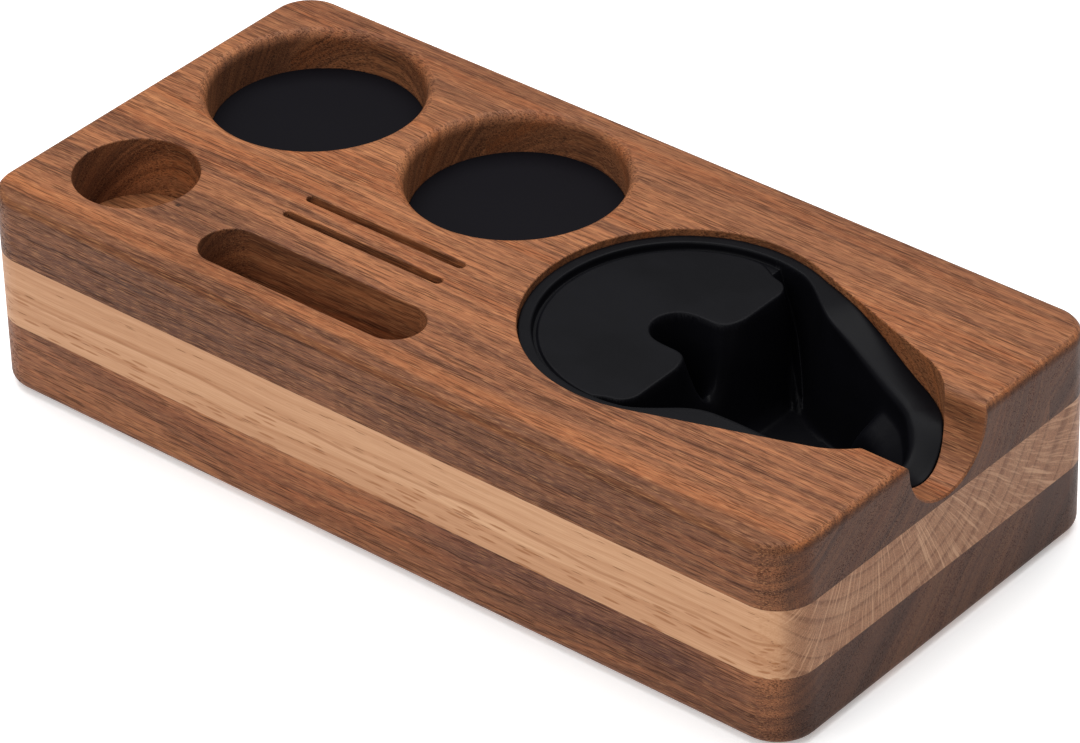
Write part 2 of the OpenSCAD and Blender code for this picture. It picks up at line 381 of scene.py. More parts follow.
top_walnut = walnut("walnut_top", (0.0, 0.0, 0.0), (-108.0, 147.0), feature=top_marks)
strip_walnut = walnut("walnut_strip", (140.0, 60.0, 20.0), (-20.0, 150.0), bend=10.0, dark=0.16)
base_walnut = walnut("walnut_base", (-300.0, 90.0, 50.0), (-100.0, 110.0), bend=34.0, ring=6.0,
                     figure=0.72, dark=0.14, feature=base_marks)
pale_oak = oak("pale_oak", (60.0, 0.0, 0.0), (-30.0, 85.0))
print("timber:", [m.name for m in (top_walnut, strip_walnut, base_walnut, pale_oak)])

# %% [markdown]
# ## Silicone and rubber
# Moulded silicone is black right through. What tells it from paint is the sheen: broad and soft,
# broken by a very fine mould texture and by faint smears where hands and metal have polished it. The
# pads are ground matte, so they scatter more, and look a little blue beside the glossier tray.


# %% Silicone and rubber
def rubber(name, tone, worn_tone, smooth, matte, grain, depth, sheen):
    """A black finish. Smooth and matte are its roughness where it is polished and where it isn't."""
    f = Finish(name, sheen)
    speckle = f.noise(f.stretch(f.place, grain, grain, grain), 2.0, 0.6)
    blotch = f.between(f.noise(f.stretch(f.place, 34, 22, 26), 3.0, 0.55), 0.36, 0.66)
    black = f.tint(tone, worn_tone, blotch, 0.6)
    black = f.tint(black, worn_tone, f.between(speckle, 0.5, 0.75), 0.25)
    return f.finish(black, f.plus(smooth, f.times(blotch, matte - smooth)), speckle, depth)


tray_silicone = rubber("tray_silicone", colour(9, 9, 12), colour(13, 13, 17), 0.34, 0.42, 0.5, 0.006, 0.05)
pad_silicone = rubber("pad_silicone", colour(14, 13, 17), colour(17, 16, 20), 0.60, 0.70, 0.35, 0.012, 0.035)
foot_rubber = rubber("foot_rubber", colour(30, 30, 31), colour(40, 39, 38), 0.7, 0.85, 0.4, 0.02, 0.35)
print("rubber:", [m.name for m in (tray_silicone, pad_silicone, foot_rubber)])

# %% [markdown]
# ## One rule for every round-cornered shape
# The block, a slot, a well and a loose disc are all the same idea: a rectangle with rounded corners,
# stepped up through a section that says how far out the wall stands at each height. A slot's corner
# radius is half its width, and a well is a square whose corner radius is half its side. So one
# Geometry Nodes tree makes them all. It lays out a grid of points, and moves each to its place on the
# outline by its column, and in or out and up by its row of the section.

# %% The round-cornered tree
CORNER_STEPS = 24
WELD = 0.001 * MM       # points closer than this are one point


def new_tree(name, sockets):
    """A Geometry Nodes tree with named inputs: its graph, and what its input node gives."""
    tree = bpy.data.node_groups.new(name, "GeometryNodeTree")
    for socket, kind in [("Geometry", "Geometry"), *sockets]:
        tree.interface.new_socket(name=socket, in_out="INPUT", socket_type="NodeSocket" + kind)
    tree.interface.new_socket(name="Geometry", in_out="OUTPUT", socket_type="NodeSocketGeometry")
    g = Graph(tree)
    return g, g.add("NodeGroupInput").outputs


def end_tree(g, shape, material):
    """Ends a tree in real geometry of one material."""
    real = g.add("GeometryNodeRealizeInstances", {"Geometry": shape}).outputs[0]
    named = g.add("GeometryNodeSetMaterial", {"Geometry": real, "Material": material})
    g.add("NodeGroupOutput", {0: named.outputs[0]})
    return g.tree


def round_cornered_tree():
    g, given = new_tree("Round cornered shape", [
        ("Length", "Float"), ("Width", "Float"), ("Corner Radius", "Float"), ("Corner Steps", "Int"),
        ("Centre", "Vector"), ("Section", "Object"), ("Material", "Material")])
    profile = g.add("GeometryNodeObjectInfo", {"Object": given["Section"]}).outputs["Geometry"]
    rows = g.add("GeometryNodeAttributeDomainSize", {"Geometry": profile}).outputs["Point Count"]
    per_corner = g.plus(given["Corner Steps"], 1.0)
    columns = g.times(per_corner, 4.0)
    grid = g.add("GeometryNodeMeshGrid", {"Vertices X": g.plus(columns, 1.0), "Vertices Y": rows})
    here = g.add("GeometryNodeInputPosition").outputs[0]
    place = g.parts(here)
    column = g.math("ROUND", g.times(g.plus(place["X"], 0.5), columns))
    last_row = g.minus(rows, 1.0)
    row = g.math("ROUND", g.times(g.plus(place["Y"], 0.5), last_row))
    turn = g.math("MODULO", column, columns)
    corner = g.math("FLOOR", g.over(turn, per_corner))
    step = g.over(g.math("MODULO", turn, per_corner), given["Corner Steps"])
    angle = g.times(g.plus(corner, step), math.pi / 2)
    middle = g.times(g.plus(corner, 0.5), math.pi / 2)

    def profile_point(index):
        """How far out, X, and how high, Z, one point of the section stands."""
        values = {"Geometry": profile, "Value": here, "Index": index}
        found = g.add("GeometryNodeSampleIndex", values, data_type="FLOAT_VECTOR", domain="POINT")
        return g.parts(found.outputs[0])

    wall = profile_point(row)
    reach = g.plus(given["Corner Radius"], wall["X"])

    def along(side, wave):
        """The outline's place on one axis: its corner's centre, and the reach from there."""
        flat = g.minus(g.times(given[side], 0.5), given["Corner Radius"])
        sign = g.math("SIGN", g.math(wave, middle))
        return g.plus(g.times(sign, flat), g.times(reach, g.math(wave, angle)))

    def cap(index):
        """The flat middle of the underside or the top, inside the four corners' centres."""
        corners = g.times(given["Corner Radius"], 2.0)
        sides = {"Vertices X": 2, "Vertices Y": 2, "Size X": g.minus(given["Length"], corners),
                 "Size Y": g.minus(given["Width"], corners)}
        flat = g.add("GeometryNodeMeshGrid", sides).outputs["Mesh"]
        lift = g.point(z=profile_point(index)["Z"])
        return g.add("GeometryNodeSetPosition", {"Geometry": flat, "Offset": lift}).outputs[0]

    moved = g.point(along("Length", "COSINE"), along("Width", "SINE"), wall["Z"])
    walls = g.add("GeometryNodeSetPosition", {"Geometry": grid.outputs["Mesh"], "Position": moved})
    joined = g.add("GeometryNodeJoinGeometry")
    for shape in (walls.outputs[0], cap(0), cap(last_row)):
        g.tree.links.new(shape, joined.inputs[0])
    placed = g.add("GeometryNodeSetPosition", {"Geometry": joined.outputs[0], "Offset": given["Centre"]})
    welded = g.add("GeometryNodeMergeByDistance", {"Geometry": placed.outputs[0], "Distance": WELD})
    return end_tree(g, welded.outputs[0], given["Material"])


round_cornered = round_cornered_tree()
print("round-cornered tree:", len(round_cornered.nodes), "nodes")


# %% Using a tree, and turning its result into a plain mesh
def set_inputs(modifier, values):
    """Sets a Geometry Nodes modifier's inputs by the identifiers of their sockets."""
    for item in modifier.node_group.interface.items_tree:
        if item.in_out == "INPUT" and item.name in values:
            modifier[item.identifier] = values[item.name]


def new_object(name, data):
    thing = bpy.data.objects.new(name, data)
    bpy.context.scene.collection.objects.link(thing)
    return thing


def object_from(work, name):
    """Turns the faces made in a bmesh into an object."""
    mesh = bpy.data.meshes.new(name)
    work.to_mesh(mesh)
    work.free()
    return new_object(name, mesh)


def settle(thing):
    """Bakes an object's modifiers into its mesh, and removes them."""
    bpy.context.view_layer.update()
    graph = bpy.context.evaluated_depsgraph_get()
    mesh = bpy.data.meshes.new_from_object(thing.evaluated_get(graph), depsgraph=graph)
    thing.modifiers.clear()
    thing.data = mesh
    mesh.name = thing.name
    return thing


def face_outwards(mesh):
    """Welds what is left open and points every face outwards. Gives the volume and the open edges."""
    work = bmesh.new()
    work.from_mesh(mesh)
    bmesh.ops.remove_doubles(work, verts=work.verts, dist=2 * WELD)
    bmesh.ops.dissolve_degenerate(work, edges=work.edges, dist=WELD)
    bmesh.ops.recalc_face_normals(work, faces=work.faces)
    volume = work.calc_volume(signed=True) / MM ** 3
    open_edges = sum(1 for edge in work.edges if not edge.is_manifold)
    work.to_mesh(mesh)
    work.free()
    return f"{round(volume)} cubic mm, {open_edges} open edges, {len(mesh.polygons)} faces"


def coat(thing, material):
    """Gives an object one material and no other."""
    thing.data.materials.clear()
    thing.data.materials.append(material)


def section(corner, wall):
    """A section's points: from the middle of the underside, up the wall, to the middle of the top."""
    points = [(-corner, wall[0][1]), *wall, (-corner, wall[-1][1])]
    mesh = bpy.data.meshes.new("section")
    mesh.from_pydata([(out, 0.0, height) for out, height in points], [], [])
    return new_object("section", mesh)


def round_cornered_shape(name, length, width, corner, centre, wall, material=None):
    profile = section(corner, wall)
    thing = new_object(name, bpy.data.meshes.new(name))
    modifier = thing.modifiers.new("shape", "NODES")
    modifier.node_group = round_cornered
    set_inputs(modifier, {"Length": length, "Width": width, "Corner Radius": corner,
                          "Corner Steps": CORNER_STEPS, "Centre": (*centre, 0.0),
                          "Section": profile, "Material": material})
    settle(thing)
    bpy.data.objects.remove(profile)
    print(name + ":", face_outwards(thing.data))
    return thing


def quarter(out, height, radius, start, steps=8):
    """Points of a quarter turn round (out, height), starting at an angle in degrees."""
    turns = [math.radians(start + 90 * i / steps) for i in range(steps + 1)]
    return [(out + radius * math.cos(a), height + radius * math.sin(a)) for a in turns]


# %% [markdown]
# ## The walnut top, and the strip glued along its back
# On the real object the top layer is two widths of walnut glued edge to edge, then routed as one.
# The shape could be taken from the CAD as it is, but its pockets have razor edges, and on the real
# top every routed edge has been broken with sandpaper and shows as a fine pale line. So the blank is
# made afresh, and each router bit is a solid whose mouth flares: a rolled lip on the two big wells,
# and half a millimetre on the rest.

# %% The blank and the router bits
edge_wall = [(0.0, glue_high), *quarter(-EDGE, face - EDGE, EDGE, 0)]


def bit(name, length, width, centre, floor, lip, taper=0.0):
    """A cutter for a round-ended pocket, with a mouth that flares by the lip's radius."""
    corner = min(length, width) / 2
    flare = [(lip - lip * math.cos(a), face - lip + lip * math.sin(a))
             for a in (math.radians(90 * i / 8) for i in range(9))]
    wall = [(-taper, floor), *flare, (lip, face + OVER)]
    return round_cornered_shape(name, length, width, corner, centre, wall)


def bore(name):
    """Centre and radius of a mounted bore."""
    mount = mounts[name]
    return mount["pos_m"][:2], mount["dims"]["r_mm"] * MM


SLOT_LENGTH, SLOT_WIDTH, SLOT_DEPTH = 60 * MM, 3 * MM, 18 * MM
SLOTS = ((-39.6 * MM, -16.6 * MM), (-39.6 * MM, -26.7 * MM))      # their centres
POCKET_LENGTH, POCKET_WIDTH, POCKET_DEPTH = 81.4 * MM, 18.4 * MM, 19.5 * MM
POCKET = (-38.6 * MM, -49.9 * MM)
WELL_LIP = 3.5 * MM
PAD_PLAY = 0.3 * MM     # room round a pad
STEP_IN = 0.02 * MM     # keeps a well's wall from meeting its seat's edge exactly
bits = []
for well, pad in (("tamper_well", "tamper_pad"), ("distributor_well", "distributor_pad")):
    centre, radius = bore(well)
    pad_low, pad_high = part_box(pad)
    seat = (pad_high.x - pad_low.x) / 2 + PAD_PLAY
    bits.append(bit("bit_" + well, 2 * radius, 2 * radius, centre, pad_high.z, WELL_LIP,
                    taper=radius - seat - STEP_IN))
    seat_wall = [(0.0, pad_low.z), (0.0, pad_high.z + OVER)]
    bits.append(round_cornered_shape("seat_" + pad, 2 * seat, 2 * seat, seat, centre, seat_wall))
centre, radius = bore("cup_well")
cup_floor = face - mounts["cup_well"]["dims"]["length_mm"] * MM
bits.append(bit("bit_cup", 2 * radius, 2 * radius, centre, cup_floor, WORN))
for number, slot_centre in enumerate(SLOTS):
    bits.append(bit(f"bit_slot_{number}", SLOT_LENGTH, SLOT_WIDTH, slot_centre, face - SLOT_DEPTH, WORN))
bits.append(bit("bit_pocket", POCKET_LENGTH, POCKET_WIDTH, POCKET, face - POCKET_DEPTH, WORN))
print("router bits:", [thing.name for thing in bits])


# %% [markdown]
# ## The tear-shaped recess and the handle notch
# The recess is the outline of a portafilter seen from above: a big circle for the head, a small one
# for the neck, and their two common tangents. Its path is measured in millimetres from the nose, so
# that a height or a width can be given as a rule along it. Its points can be moved inwards by any
# distance, so every line that runs beside the outline comes from the same rule.

# %% The path round the recess
HEAD = (56.5, 0.5)      # centre of the head's circle, in mm
NOSE = (113.0, 0.5)     # centre of the nose's circle
HEAD_RADIUS, NOSE_RADIUS = 46.7, 28.5
TILT = math.asin((HEAD_RADIUS - NOSE_RADIUS) / (NOSE[0] - HEAD[0]))
SIDE = (NOSE[0] - HEAD[0]) * math.cos(TILT)
NOSE_TURN = NOSE_RADIUS * (math.pi / 2 - TILT)
HALF_PATH = NOSE_TURN + SIDE + HEAD_RADIUS * (math.pi / 2 + TILT)
PATH_STEPS = 352


def recess_path(inset):
    """Path lengths from the nose, and the outline's points moved inwards, in mm."""
    run = np.linspace(-HALF_PATH, HALF_PATH, PATH_STEPS, endpoint=False)
    along = np.abs(run)
    round_head = np.maximum(along - NOSE_TURN - SIDE, 0.0)
    angle = np.where(along < NOSE_TURN, along / NOSE_RADIUS, math.pi / 2 - TILT)
    angle = angle + round_head / HEAD_RADIUS
    back = np.clip(along - NOSE_TURN, 0.0, SIDE)
    radius = NOSE_RADIUS + (HEAD_RADIUS - NOSE_RADIUS) * back / SIDE
    centre = NOSE[0] + (HEAD[0] - NOSE[0]) * back / SIDE
    side = np.where(run < 0, -1.0, 1.0)
    reach = radius - (inset(along) if callable(inset) else inset)
    return along, np.stack([centre + reach * np.cos(angle), NOSE[1] + side * reach * np.sin(angle)], -1)


def recess_place(x, y):
    """How far inside the outline a point lies, and how far from the nose along the path."""
    px, py = x - HEAD[0], np.abs(y - HEAD[1])
    forward = px * math.cos(TILT) - py * math.sin(TILT)
    at_head = HEAD_RADIUS - np.hypot(px, py)
    at_nose = NOSE_RADIUS - np.hypot(x - NOSE[0], py)
    at_side = HEAD_RADIUS - (px * math.sin(TILT) + py * math.cos(TILT))
    inside = np.where(forward < 0, at_head, np.where(forward > SIDE, at_nose, at_side))
    head_run = NOSE_TURN + SIDE + HEAD_RADIUS * (np.arctan2(py, px) - (math.pi / 2 - TILT))
    nose_run = NOSE_RADIUS * np.arctan2(py, x - NOSE[0])
    side_run = NOSE_TURN + SIDE - forward
    run = np.where(forward < 0, head_run, np.where(forward > SIDE, nose_run, side_run))
    return inside, run


print("half the recess's path, mm:", round(HALF_PATH, 1))

# %% [markdown]
# ## The tray, as one rule of height
# The real tray is one moulding of black silicone. Its rim lies just under the wood, widens at the neck
# and dives over the nose into the handle notch. Inside the rim a narrow groove runs round a flat seat,
# a tongue is cut into the seat, and a deep pocket takes the spouts, with a sloped shelf at its nose
# end. Boolean cuts would leave hard seams where these meet. Soft rubber has none, so the tray is one
# function that gives the height at any place in plan, and smooth blends stand in for the fillets.

# %% Heights of the tray
RIM = face / MM - 2.0           # the level rim, just under the wood
SEAT = RIM - 1.5                # the flat seat for the portafilter's head
POCKET_FLOOR = face / MM - 38.5
STEP_X = 67.6                   # where the seat ends
TONGUE = (55.4, 0.0)
TONGUE_RADIUS, FLARE_RADIUS = 8.0, 13.6
SEAT_CIRCLE = (54.0, -0.5, 38.7)    # the seat's round edge: x, y and radius
GROOVE_END = 58.6               # from here on the groove runs down into the pocket
HEAD_RIM, NECK_SWELL, NOSE_LOSS = 4.2, 6.3, 2.0     # the rim's width, and how it changes
GROOVE_WIDTH, GROOVE_DEPTH = 1.4, 0.9
SHELF_DROP, SHELF_LENGTH = 6.0, 9.0     # the sloped shelf at the nose, below the crest and past it
EDGE_ROUND = 0.7                # rounding of the seat's edge, and of the crest round the head
OUTER_ROUND = 0.8               # rounding of the rim's outer edge
RIM_SHEET = 3.0                 # how far the wooden ledge lies below the rim
SKIN = 0.4                      # wood left over the glue line under the nose
SHEET = 1.3                     # thickness of the moulding's walls
THIN = 0.55                     # and of its seat
BASE = 2.5                      # and of its floor

print("rim, seat and pocket floor, mm:", [round(z, 1) for z in (RIM, SEAT, POCKET_FLOOR)])


# %% The rim, and how it falls
def ease(start, end, value):
    """0 before start, 1 after end, and a smooth step between."""
    part = np.clip((value - start) / (end - start), 0.0, 1.0)
    return part * part * (3 - 2 * part)


def rim_width(run):
    """Width of the rim's top: narrow round the head, wide at the neck, a little less at the nose."""
    return HEAD_RIM + NECK_SWELL * (1 - ease(66, 92, run)) - NOSE_LOSS * (1 - ease(0, 22, run))


def dive(run, nose, nose_end, neck, neck_end):
    """Height of the rim: level round the head, then down by the neck's drop and the nose's."""
    return RIM - (nose + neck) + nose * ease(0, nose_end, run) + neck * ease(26, neck_end, run)


def rim_at_wood(run):
    return dive(run, 8.0, 20, 9.5, 74)


def rim_at_crest(run):
    return dive(run, 5.5, 28, 9.0, 76)


def rim_band(run, across):
    """Height between the wood, across = 0, and the crest, across = 1."""
    return rim_at_wood(run) * (1 - across) + rim_at_crest(run) * across


def ledge_height(run, inset):
    """The wooden ledge under the rim, which never cuts through the top board at the nose."""
    return np.maximum(rim_band(run, ease(0, 9, inset)) - RIM_SHEET, glue_high / MM + SKIN)


def fall(past, radius, steepness=math.radians(82)):
    """Drop of an edge that rounds over with a radius and ends in a steep wall at past = 0."""
    reach = radius * math.sin(steepness)
    turn = np.clip(past + radius, 0.0, reach)
    rounded = radius - np.sqrt(radius ** 2 - turn ** 2)
    return rounded + np.maximum(past + radius - reach, 0) * math.tan(steepness)


def higher(a, b, blend):
    """The higher of two surfaces, with a fillet where they come within the blend of each other."""
    near = np.maximum(blend - np.abs(a - b), 0.0) / blend
    return np.maximum(a, b) + near ** 2 * blend / 4


print("rim at the nose, mm:", round(float(rim_at_crest(0.0)), 1))


# %% The whole surface
def seat_inside(x, y, inside, run):
    """How far inside the edge of the flat seat a point lies."""
    to_step = STEP_X - x
    to_tongue = np.hypot(x - TONGUE[0], y - TONGUE[1]) - TONGUE_RADIUS
    near = np.hypot(np.maximum(FLARE_RADIUS - to_step, 0), np.maximum(FLARE_RADIUS - to_tongue, 0))
    clear = np.maximum(FLARE_RADIUS, np.minimum(to_step, to_tongue)) - near
    swell = 3.0 * (1 - ease(52, 62, x))
    to_circle = SEAT_CIRCLE[2] + swell - np.hypot(x - SEAT_CIRCLE[0], y - SEAT_CIRCLE[1])
    to_rim = np.minimum(inside - rim_width(run) - GROOVE_WIDTH, to_circle)
    corner = 4.5        # rounding of the seat's corners at the step
    rounded = corner - np.hypot(np.maximum(corner - clear, 0), np.maximum(corner - to_rim, 0))
    return np.where((clear < corner) & (to_rim < corner), rounded, np.minimum(clear, to_rim))


def tray_height(x, y):
    """Height of the tray's upper face at any place in plan."""
    inside, run = recess_place(x, y)
    past_crest = inside - rim_width(run)
    rim = rim_band(run, ease(0, 1, inside / rim_width(run)))
    rolled = OUTER_ROUND - np.sqrt(OUTER_ROUND ** 2 - np.clip(OUTER_ROUND - inside, 0, OUTER_ROUND) ** 2)
    crest_round = EDGE_ROUND + 2.3 * (1 - ease(30, 80, run))
    bowl = rim - rolled - fall(past_crest, crest_round)
    seat = SEAT - fall(-seat_inside(x, y, inside, run), EDGE_ROUND)
    groove = SEAT - GROOVE_DEPTH - 1.8 * np.maximum(x - GROOVE_END, 0)
    groove = groove - 5.0 * np.maximum(past_crest - 6.5, 0)
    shelf = rim_at_crest(run) - SHELF_DROP - 0.7 * np.maximum(past_crest, 0)
    shelf = shelf - fall(past_crest - SHELF_LENGTH, 3.0) - 40 * ease(38, 62, run)
    floor = higher(np.full_like(x, POCKET_FLOOR), shelf, 8.0)
    under = higher(higher(bowl, floor, 6.0), groove, 0.6)
    return higher(under, seat, 0.3 + 12.0 * ease(3, 16, SEAT - under))


probe = np.array([[20.0, 0.5], [60.0, 30.0], [90.0, 0.5], [141.0, 0.5]])
print("tray heights, mm:", np.round(tray_height(probe[:, 0], probe[:, 1]), 2).tolist())

# %% [markdown]
# ## Giving the rule a mesh
# A plain grid would leave saw teeth wherever an edge runs across it. So the points are laid in rows
# along the edges, close together where the surface turns quickly and far apart where it is flat, and
# a Delaunay triangulation joins them. The underside is the same rule, lowered by the sheet's
# thickness and kept clear of the walls, and a strip round the outline closes the solid.

# %% Rows of points
GAP = 0.3               # clearance between the tray and the wood
ROWS_END = 5.3          # past here the seat's own rows take over from the path's
# Distances in mm: from the wood, from the crest, and from the seat's edge
RIM_ROWS = [0.0, 0.08, 0.2, 0.4, 0.7, 1.2, 1.9]
CREST_ROWS = [-3.2, -2.4, -1.8, -1.3, -0.9, -0.6, -0.35, -0.15, 0.0, 0.12, 0.25, 0.45, 0.7,
              *np.arange(1.0, ROWS_END, 0.3), 6.2, 7.4, 8.4, 9.2, 10.0]
UNDER_ROWS = [-4.0, -3.0, -2.2, -1.7, -1.3, -1.0, -0.8, -0.6, -0.4, -0.2, 0.0, 0.25, 0.5, 0.8,
              1.2, 1.8, 2.6, 3.6, 4.6]
SEAT_ROWS = np.array([-1.5, -1.0, -0.65, -0.4, -0.2, 0.0, 0.15, 0.3, 0.5, 0.75, 1.1])


def grid(x_start, x_end, y_start, y_end, spacing):
    x, y = np.meshgrid(np.arange(x_start, x_end, spacing), np.arange(y_start, y_end, spacing))
    return x.ravel(), y.ravel()


def rows_along_path(from_wood, from_crest):
    """Rings of points, parallel to the wood's edge and to the crest of the rim."""
    rings = [recess_path(GAP + row)[1] for row in from_wood]
    return rings + [recess_path(lambda run, row=row: rim_width(run) + row)[1] for row in from_crest]


def rows_along_seat(spacing, levels):
    """Points near the seat's edge, each slid sideways onto the nearest of a few parallel lines."""
    x, y = grid(14, 70, -42, 43, spacing)

    def edge(x, y):
        return seat_inside(x, y, *recess_place(x, y))

    value = edge(x, y)
    inside, run = recess_place(x, y)
    near = (np.abs(value) < levels[-1] + spacing) & (inside > rim_width(run) + ROWS_END)
    x, y, value = x[near], y[near], value[near]
    tiny = 0.01
    slope_x = (edge(x + tiny, y) - value) / tiny
    slope_y = (edge(x, y + tiny) - value) / tiny
    nearest = levels[np.abs(value[:, None] - levels[None]).argmin(1)]
    return np.stack([x + slope_x * (nearest - value), y + slope_y * (nearest - value)], -1)


def filling(spacing):
    """An even spread of points for everything inside the rim."""
    x, y = grid(8, 144, -48, 48, spacing)
    inside, run = recess_place(x, y)
    return np.stack([x, y], -1)[inside > rim_width(run) + 2.0]


def corner_points(spacing):
    """Close points where the step's wall runs down into the bowl's wall."""
    x, y = grid(57, 76, 31, 44, spacing)
    return np.stack([np.concatenate([x, x]), np.concatenate([y, -y])], -1)


print("points near the step's corners:", len(corner_points(0.35)))


# %% The tray's mesh
def triangulate(points):
    """Joins points in plan. Returns the points, and the triangles between them."""
    flat, _, faces, *_ = geometry.delaunay_2d_cdt([Vector(p) for p in points], [], [], 0, 1e-3)
    return np.array([tuple(p) for p in flat]), faces


def tray_underside(x, y):
    """The sheet's lower face: the lowest of the upper face close by, less the sheet's thickness."""
    lowest = tray_height(x, y)
    for turn in np.linspace(0, 2 * math.pi, 12, endpoint=False):
        lowest = np.minimum(lowest, tray_height(x + SHEET * math.cos(turn), y + SHEET * math.sin(turn)))
    inside, run = recess_place(x, y)
    thick = THIN + (BASE - THIN) * ease(1.5, 6, SEAT - lowest)
    return np.maximum(np.minimum(lowest - thick, ledge_height(run, inside)), POCKET_FLOOR - BASE)


def build_tray():
    top_points = [*rows_along_path(RIM_ROWS, CREST_ROWS), rows_along_seat(0.4, SEAT_ROWS),
                  corner_points(0.35), filling(1.6)]
    under_points = [*rows_along_path([0.0, 1.5], UNDER_ROWS), rows_along_seat(0.5, SEAT_ROWS - SHEET),
                    corner_points(0.5), filling(1.6)]
    work = bmesh.new()
    for points, height in ((top_points, tray_height), (under_points, tray_underside)):
        flat, faces = triangulate(np.concatenate(points))
        lift = height(flat[:, 0], flat[:, 1])
        corners = [work.verts.new((x * MM, y * MM, z * MM)) for (x, y), z in zip(flat, lift)]
        for each in faces:
            work.faces.new([corners[i] for i in each])
    bmesh.ops.bridge_loops(work, edges=[edge for edge in work.edges if edge.is_boundary])
    return object_from(work, "silicone_tray")


tray = build_tray()
print("tray:", face_outwards(tray.data))
coat(tray, tray_silicone)
tray.data.shade_smooth()
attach(tray, "tray")
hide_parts("portafilter_tray")

# %% [markdown]
# ## Cutters for the recess and the notch
# The recess is cut with the tray's own path, so the tray is sure to fit. Its floor is a ledge that
# follows the underside of the rim. The hole for the spout pocket is cut straight down through it. The
# notch is a round-bottomed groove whose long top edges are rolled.


# %% Stacks of rings
def stack(name, rings, cap_like_ladder=False):
    """A closed solid from rings of equally many points, in mm. A ladder closes an uneven floor."""
    work = bmesh.new()
    loops = [[work.verts.new([c * MM for c in point]) for point in ring] for ring in rings]
    count = len(loops[0])
    for lower, upper in zip(loops, loops[1:]):
        for i in range(count):
            j = (i + 1) % count
            work.faces.new((lower[i], lower[j], upper[j], upper[i]))
    if cap_like_ladder:
        first = loops[0]
        for i in range(1, count // 2):
            rung = [first[-i % count], first[i], first[i + 1], first[-i - 1]]
            work.faces.new(list(dict.fromkeys(rung)))
        work.faces.new((first[0], first[1], first[-1]))
    else:
        work.faces.new(loops[0])
    work.faces.new(loops[-1])
    thing = object_from(work, name)
    print(name + ":", face_outwards(thing.data))
    return thing


def level(points, height):
    """Lifts an outline to a height, or each of its points to its own."""
    return np.column_stack([points, np.broadcast_to(height, len(points))])


# %% The recess bit
def recess_bit():
    worn, top = WORN / MM, face / MM
    rings = []
    for inset in (12.0, 9.0, 6.0, 3.0, 0.0):
        run, points = recess_path(inset)
        rings.append(level(points, ledge_height(run, inset)))
    for turn in np.linspace(0, math.pi / 2, 7):
        rings.append(level(recess_path(worn * (math.cos(turn) - 1))[1], top - worn + worn * math.sin(turn)))
    rings.append(level(recess_path(-worn)[1], top + OVER / MM))
    return stack("bit_recess", rings, cap_like_ladder=True)


bits.append(recess_bit())

# %% The hole for the spout pocket
HOLE_HEAD, HOLE_NOSE = 43.8, 20.3       # radii of the hole's two big arcs
HOLE_STEP = 64.8                # where the hole ends, under the seat's step
TONGUE_X, TONGUE_HOLE = 55.5, 10.8      # centre and radius of its round end under the tongue
EAR_X, EAR_Y = 57.0, 35.7       # the two ears that take the ends of the groove


def arc(x, radius, start, end, steps):
    """Points round (x, 0), between two angles."""
    return [(x + radius * math.cos(a), radius * math.sin(a)) for a in np.linspace(start, end, steps)]


def pocket_hole_outline():
    """The hole under the recess that takes the pocket's shell: a smaller tear, and the tongue."""
    upright = math.pi / 2 - math.asin((HOLE_HEAD - HOLE_NOSE) / (NOSE[0] - HEAD[0]))
    ear_turn = math.acos((EAR_X - HEAD[0]) / HOLE_HEAD)
    upper = arc(NOSE[0], HOLE_NOSE, 0, upright, 24) + arc(HEAD[0], HOLE_HEAD, upright, ear_turn, 16)
    upper += [(EAR_X, EAR_Y), (HOLE_STEP, EAR_Y - 1.5), (HOLE_STEP, 14.6), (TONGUE_X, TONGUE_HOLE)]
    upper += arc(TONGUE_X, TONGUE_HOLE, math.pi / 2, math.pi, 16)[1:]
    lower = [(x, -y) for x, y in reversed(upper[1:-1])]
    return np.array(upper + lower) + [0.0, NOSE[1]]


hole = pocket_hole_outline()
bits.append(stack("bit_spout", [level(hole, glue_high / MM - 4.0), level(hole, RIM)]))

# %% The notch bit
NOTCH_RADIUS, NOTCH_DROP, NOTCH_ROLL = 17.4, 2.0, 3.0


def notch_section(grow):
    """The notch seen from its open end: a half circle, upright sides and rolled top edges."""
    top, radius = face / MM, NOTCH_RADIUS + grow
    bottom = [(radius * math.sin(a), top - NOTCH_DROP - radius * math.cos(a))
              for a in np.linspace(0, math.pi / 2, 32)]
    roll = [(radius + NOTCH_ROLL * (1 - math.cos(a)), top - NOTCH_ROLL + NOTCH_ROLL * math.sin(a))
            for a in np.linspace(0.35, math.pi / 2, 9)]
    right = bottom[:-1] + roll + [(radius + NOTCH_ROLL, top + 2.0)]
    left = [(-y, z) for y, z in reversed(right[1:])]
    return [(y + NOSE[1], z) for y, z in right + left]


def notch_bit():
    end, worn = half_length / MM, WORN / MM
    stations = [(NOSE[0] + 20.0, 0.0), (end - worn, 0.0), (end, worn), (end + 2.0, worn)]
    return stack("bit_notch", [[(x, y, z) for y, z in notch_section(grow)] for x, grow in stations])


bits.append(notch_bit())

# %% [markdown]
# ## Routing the boards
# Two boards come out of one blank, so that the wells run cleanly across the glue line. A second
# Geometry Nodes tree takes every bit away from the blank in one pass. One of them is a saw cut, longer
# than the block, that takes off the part that belongs to the other board.


# %% The routing tree
def routing_tree():
    g, given = new_tree("Routed board", [("Bits", "Collection"), ("Material", "Material")])
    rack = {"Collection": given["Bits"], "Separate Children": True}
    cutters = g.add("GeometryNodeCollectionInfo", rack).outputs[0]
    cut = g.add("GeometryNodeMeshBoolean", {"Mesh 1": given["Geometry"], "Mesh 2": cutters},
                operation="DIFFERENCE", solver="MANIFOLD")
    return end_tree(g, cut.outputs[0], given["Material"])


SAW_OVER = 5.0          # how far a saw cut runs past the board, in mm
SAW_END = 200.0


